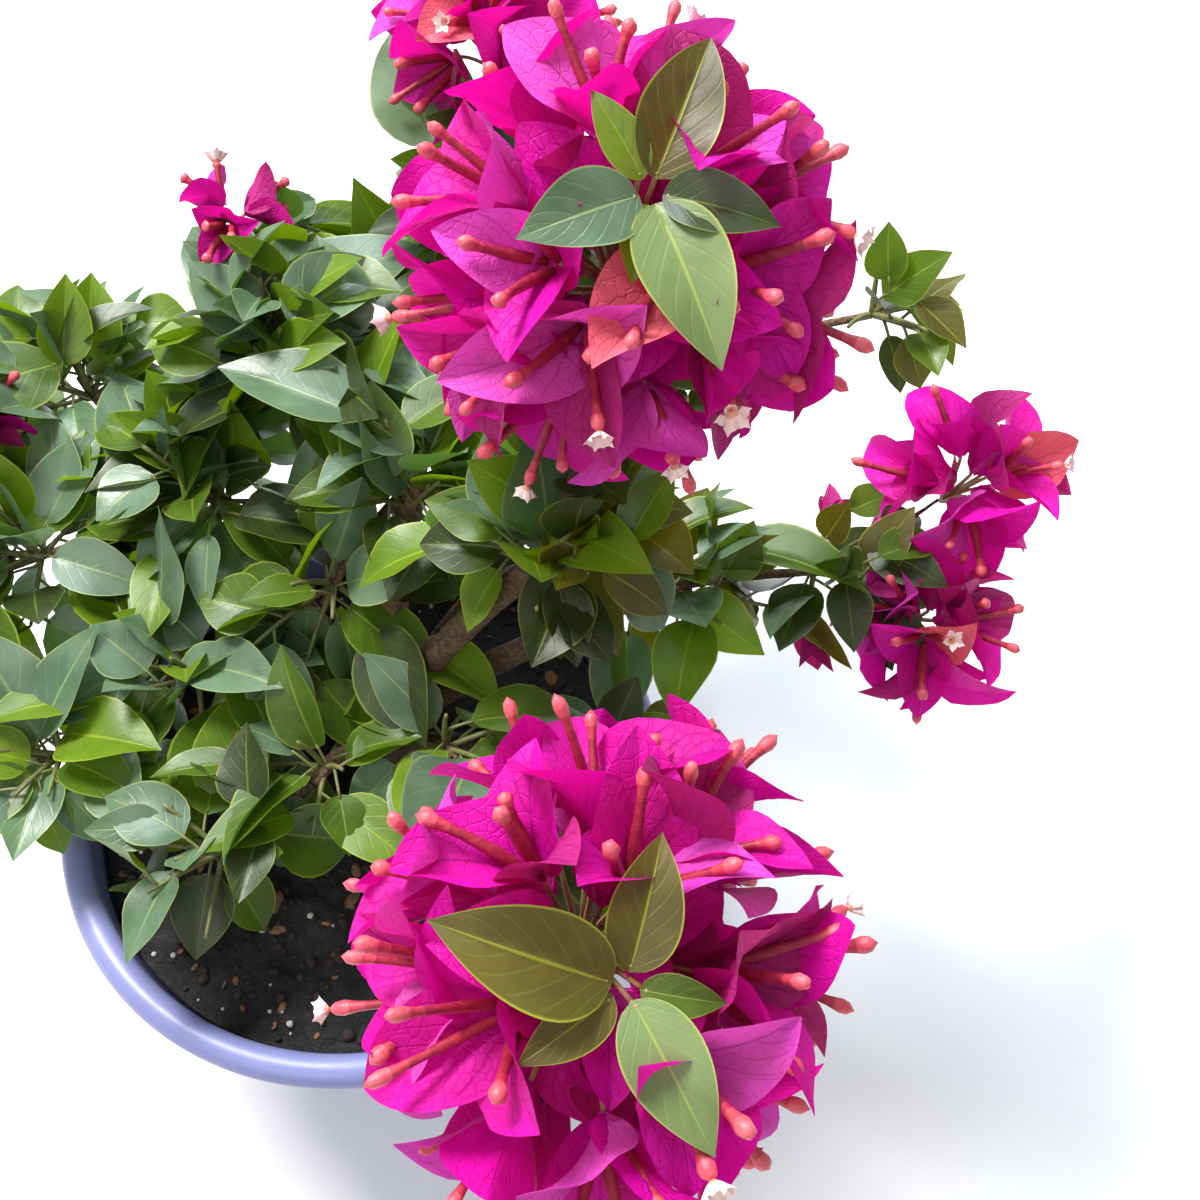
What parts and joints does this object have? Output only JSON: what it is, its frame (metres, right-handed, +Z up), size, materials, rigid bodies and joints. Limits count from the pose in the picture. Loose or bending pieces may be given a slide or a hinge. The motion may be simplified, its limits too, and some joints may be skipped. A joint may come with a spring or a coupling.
{
  "type": "potted bougainvillea bush",
  "caption": "Low leaning bougainvillea bush with round bract heads over dense leaves, in a round tapered plastic pot.",
  "frame": {"origin": "middle of the pot's flat underside", "axes": "+Z up; -Y towards the side the bush leans its lower bract head to; +X towards its longest side branch"},
  "size_m": [0.4366, 0.4186, 0.4337],
  "materials": {
    "pot": "smooth matt lavender plastic",
    "potting_mix": "moist dark peat and bark mix with pale grit",
    "bark": "furrowed grey-brown bark, greener on young shoots",
    "leaves": "smooth half-gloss leaves with a yellow-green edge",
    "bracts": "papery veined bracts, hot magenta"
  },
  "bodies": {
    "root": {"bough_back": "bark", "bough_centre": "bark", "bough_front": "bark", "bough_left": "bark", "bough_left_low": "bark", "bough_near": "bark", "bough_right": "bark", "bough_right_back": "bark", "bough_right_low": "bark", "bough_upper": "bark", "bract_mass_back": "bracts", "bract_mass_bud": "bracts", "bract_mass_left": "bracts", "bract_mass_lower": "bracts", "bract_mass_right_high": "bracts", "bract_mass_right_low": "bracts", "bract_mass_top": "bracts", "bract_mass_upper": "bracts", "leaf_mass_back": "leaves", "leaf_mass_back_left": "leaves", "leaf_mass_back_right": "leaves", "leaf_mass_centre": "leaves", "leaf_mass_centre_low": "leaves", "leaf_mass_left_front": "leaves", "leaf_mass_left_low": "leaves", "leaf_mass_left_mid": "leaves", "leaf_mass_left_outer": "leaves", "leaf_mass_left_upper": "leaves", "leaf_mass_low_front": "leaves", "leaf_mass_near_bud": "leaves", "leaf_mass_near_left": "leaves", "leaf_mass_near_mid": "leaves", "leaf_mass_right_low": "leaves", "leaf_mass_right_mid": "leaves", "leaf_mass_right_outer": "leaves", "leaf_mass_right_top": "leaves", "leaf_mass_top": "leaves", "leaf_mass_under_upper": "leaves", "pot": "pot", "potting_mix": "potting_mix", "shoot_right_top": "bark", "trunk": "bark", "leaf_mass_middle": "leaves"}
  },
  "joints": []
}
